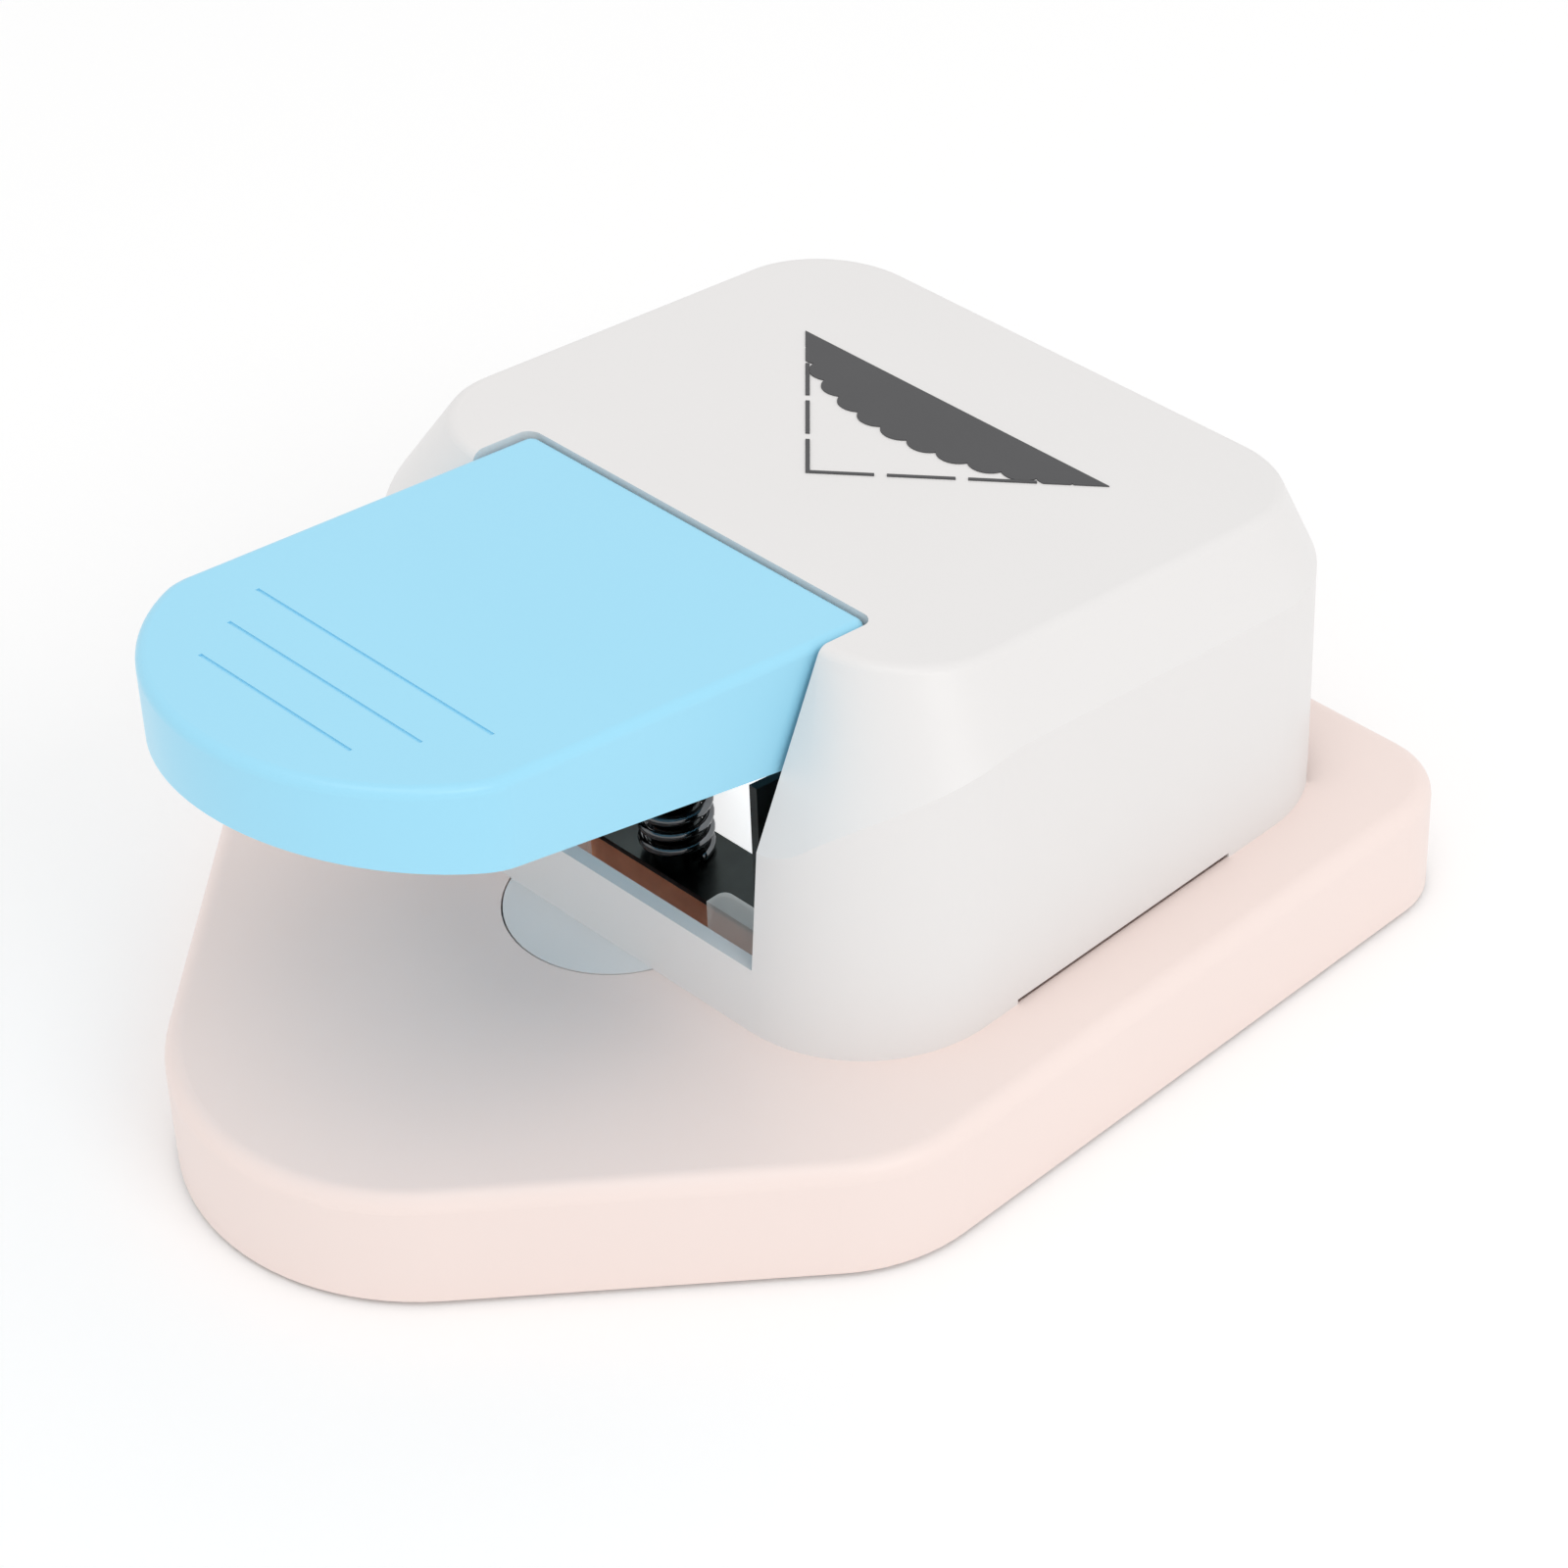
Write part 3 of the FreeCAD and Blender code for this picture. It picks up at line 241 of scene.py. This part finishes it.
def brushedMetalGroup():
    # rolled or ground metal: long fine scratches along one axis over a mottled surface
    group, source, sink = newGroup("brushedMetal", (
        ("Colour", "NodeSocketColor", (0.3, 0.3, 0.3, 1)),
        ("Second Colour", "NodeSocketColor", (0.2, 0.2, 0.2, 1)),
        ("Stretch", "NodeSocketVector", (60.0, 2500.0, 2500.0)),
        ("Roughness", "NodeSocketFloat", 0.3),
        ("Roughness Drift", "NodeSocketFloat", 0.2),
    ), skinOutputs)
    place = group.nodes.new("ShaderNodeTexCoord").outputs["Object"]
    stretch = group.nodes.new("ShaderNodeVectorMath")
    stretch.operation = "MULTIPLY"
    group.links.new(place, stretch.inputs[0])
    group.links.new(source.outputs["Stretch"], stretch.inputs[1])
    scratch = noiseNode(group, 1.0, 3.0, 0.6)
    group.links.new(stretch.outputs["Vector"], scratch.inputs["Vector"])
    mottle = noiseNode(group, brushedPattern["mottleScale"], 4.0)
    group.links.new(place, mottle.inputs["Vector"])
    blend = group.nodes.new("ShaderNodeMix")
    blend.data_type = "RGBA"
    spread = rangeNode(group, brushedPattern["mottleFrom"], brushedPattern["mottleTo"], 0.0, 1.0)
    group.links.new(mottle.outputs["Fac"], spread.inputs["Value"])
    group.links.new(spread.outputs["Result"], blend.inputs["Factor"])
    group.links.new(source.outputs["Colour"], blend.inputs["A"])
    group.links.new(source.outputs["Second Colour"], blend.inputs["B"])
    group.links.new(blend.outputs["Result"], sink.inputs["Colour"])
    rough = mathNode(group, "SUBTRACT", scratch.outputs["Fac"], 0.5)
    rough = mathNode(group, "MULTIPLY", rough, source.outputs["Roughness Drift"])
    rough = mathNode(group, "ADD", rough, source.outputs["Roughness"])
    group.links.new(rough, sink.inputs["Roughness"])
    group.links.new(scratch.outputs["Fac"], sink.inputs["Height"])
    return group


sharedGroups = {"mouldedSkin": mouldedSkinGroup(), "brushedMetal": brushedMetalGroup()}


# Finishes

plasticIor = 1.49
# emission colour of the painted glow on the housing and the natural nylon
paintedGlowWhite = (1.0, 1.0, 1.0, 1.0)

# metal scratches are long where the stretch is small: along X, along Z, or nowhere
alongX = (60.0, 2500.0, 2500.0)
alongXFine = (150.0, 3500.0, 3500.0)
alongZ = (2500.0, 2500.0, 60.0)
evenly = (300.0, 300.0, 300.0)


def newMaterial(name, groupName, groupValues, shaderValues, bump, bumpDistance):
    material = bpy.data.materials.new(name)
    material.use_nodes = True
    tree = material.node_tree
    shader = tree.nodes["Principled BSDF"]
    skin = tree.nodes.new("ShaderNodeGroup")
    skin.node_tree = sharedGroups[groupName]
    for label, value in groupValues.items():
        skin.inputs[label].default_value = value
    for label, value in shaderValues.items():
        shader.inputs[label].default_value = value
    tree.links.new(skin.outputs["Colour"], shader.inputs["Base Color"])
    tree.links.new(skin.outputs["Roughness"], shader.inputs["Roughness"])
    raised = tree.nodes.new("ShaderNodeBump")
    raised.inputs["Strength"].default_value = bump
    raised.inputs["Distance"].default_value = bumpDistance
    tree.links.new(skin.outputs["Height"], raised.inputs["Height"])
    tree.links.new(raised.outputs["Normal"], shader.inputs["Normal"])
    return material


def plastic(name, colour, roughness, drift=0.03, grain=mouldedPattern["grainScale"], bump=0.25,
            **more):
    shaderValues = {"IOR": plasticIor}
    shaderValues.update({label.replace("_", " "): value for label, value in more.items()})
    return newMaterial(name, "mouldedSkin", {
        "Colour": (*colour, 1), "Tone Drift": drift, "Roughness": roughness, "Grain Scale": grain,
    }, shaderValues, bump, mouldedPattern["relief"])


def metal(name, colour, secondColour, stretch, roughness, drift=0.2, bump=0.15):
    return newMaterial(name, "brushedMetal", {
        "Colour": (*colour, 1), "Second Colour": (*secondColour, 1), "Stretch": stretch,
        "Roughness": roughness, "Roughness Drift": drift,
    }, {"Metallic": 1.0}, bump, brushedPattern["relief"])


def paintedFloor():
    return plastic("floorPaint", studio["floorColour"], studio["floorRoughness"],
                   drift=0.0, bump=0.0)


finishes = {
    "casing_plastic": plastic("casingWhite", (0.79, 0.775, 0.768), 0.34),
    "base_plastic": plastic("baseBlush", (0.885, 0.752, 0.707), 0.38),
    "hatch_plastic": plastic("hatchBlush", (0.84, 0.71, 0.665), 0.5),
    "lever_plastic": plastic("leverBlue", (0.335, 0.71, 0.905), 0.3),
    # the housing wall glows white: painted light that brightens the shaded wall behind the bar
    "housing_plastic": plastic("housingWhitePaintedGlow", (0.88, 0.88, 0.88), 0.4,
                               Emission_Strength=0.78, Emission_Color=paintedGlowWhite),
    "carrier_nylon": plastic("carrierNylon", (0.55, 0.55, 0.53), 0.45),
    # translucent natural nylon with a faint painted glow that brightens it in the shade
    "natural_nylon": plastic("naturalNylonPaintedGlow", (0.84, 0.84, 0.80), 0.3, Alpha=0.45,
                             Emission_Strength=0.12, Emission_Color=paintedGlowWhite),
    "mark_ink": plastic("markInk", (0.07, 0.07, 0.073), 0.6, drift=0.12, bump=0.1),
    "dark_steel": metal("darkSteel", (0.040, 0.048, 0.047), (0.032, 0.038, 0.038),
                        alongXFine, 0.24, 0.10),
    "plain_steel": metal("plainSteel", (0.56, 0.57, 0.58), (0.46, 0.47, 0.49), alongZ, 0.3),
    "tool_steel": metal("toolSteel", (0.50, 0.50, 0.52), (0.40, 0.40, 0.42), alongZ, 0.22),
    "spring_wire": metal("springWire", (0.15, 0.155, 0.16), (0.12, 0.125, 0.13),
                         evenly, 0.10, 0.04, 0.0),
    "copper_plate": metal("copperPlate", (0.97, 0.52, 0.34), (0.84, 0.43, 0.28), alongX, 0.38),
    "foot_rubber": plastic("footRubber", (0.26, 0.26, 0.265), 0.75, grain=2500.0, bump=0.5),
}


def dressFrame():
    for entry in frame["record"]["subparts"]:
        node = frame["nodes"][entry["node"]]
        node.data.materials.clear()
        node.data.materials.append(finishes[entry["material_slot"]])


# Springs

# turns are counted, wire is its radius in metres, pitch is the closed turns' in wire diameters
springs = {
    "leverSpring": {
        "node": "lever_spring", "joint": "lever_hinge", "slot": "spring_wire", "wire": 0.0004,
        "closedBelow": 3.1, "open": 4.6, "closedAbove": 1.5, "pitch": 1.9, "keep": 0.70,
    },
    "punchSpringRight": {
        "node": "punch_spring_right", "joint": "punch_slide", "slot": "spring_wire",
        "wire": 0.0003, "closedBelow": 1.2, "open": 3.6, "closedAbove": 1.2, "pitch": 1.08,
        "keep": 0.67,
    },
    "punchSpringLeft": {
        "node": "punch_spring_left", "joint": "punch_slide", "slot": "spring_wire",
        "wire": 0.0003, "closedBelow": 1.2, "open": 3.6, "closedAbove": 1.2, "pitch": 1.08,
        "keep": 0.67,
    },
}


def addSpring(name, values, turnSteps=28, wireSides=12):
    low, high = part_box(values["node"])
    centre = (low + high) / 2
    wire = values["wire"]
    radius = (high.x - low.x) / 2 - wire
    closedPitch = 2 * wire * values["pitch"]
    closedRise = (values["closedBelow"] + values["closedAbove"]) * closedPitch
    openPitch = (high.z - low.z - 2 * wire - closedRise) / values["open"]
    bm = bmesh.new()
    turn = Matrix.Rotation(math.pi / 2, 4, "X")
    place = Matrix.Translation((centre.x + radius, centre.y, low.z + wire))
    ring = bmesh.ops.create_circle(bm, segments=wireSides, radius=wire, matrix=place @ turn)
    edges = list({edge for vertex in ring["verts"] for edge in vertex.link_edges})
    bmesh.ops.contextual_create(bm, geom=edges)
    for turns, pitch in ((values["closedBelow"], closedPitch),
                         (values["open"], openPitch),
                         (values["closedAbove"], closedPitch)):
        steps = round(turns * turnSteps)
        swept = bmesh.ops.spin(bm, geom=edges, cent=centre, axis=(0, 0, 1), steps=steps,
                               angle=turns * 2 * math.pi, dvec=(0, 0, turns * pitch / steps))
        edges = [item for item in swept["geom_last"] if isinstance(item, bmesh.types.BMEdge)]
    bmesh.ops.contextual_create(bm, geom=edges)
    bmesh.ops.recalc_face_normals(bm, faces=bm.faces)
    for face in bm.faces:
        face.smooth = len(face.verts) == 4
    spring = pieceFromBmesh(name, bm)
    spring.data.materials.append(finishes[values["slot"]])
    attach(spring, "base")
    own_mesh(spring)
    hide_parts(values["node"])


addCamera()
addStudio()
print("corner rounder: camera and studio set")
dressFrame()
print("corner rounder: finishes on the CAD nodes")
for springName, springValues in springs.items():
    addSpring(springName, springValues)
print("corner rounder: springs wound")
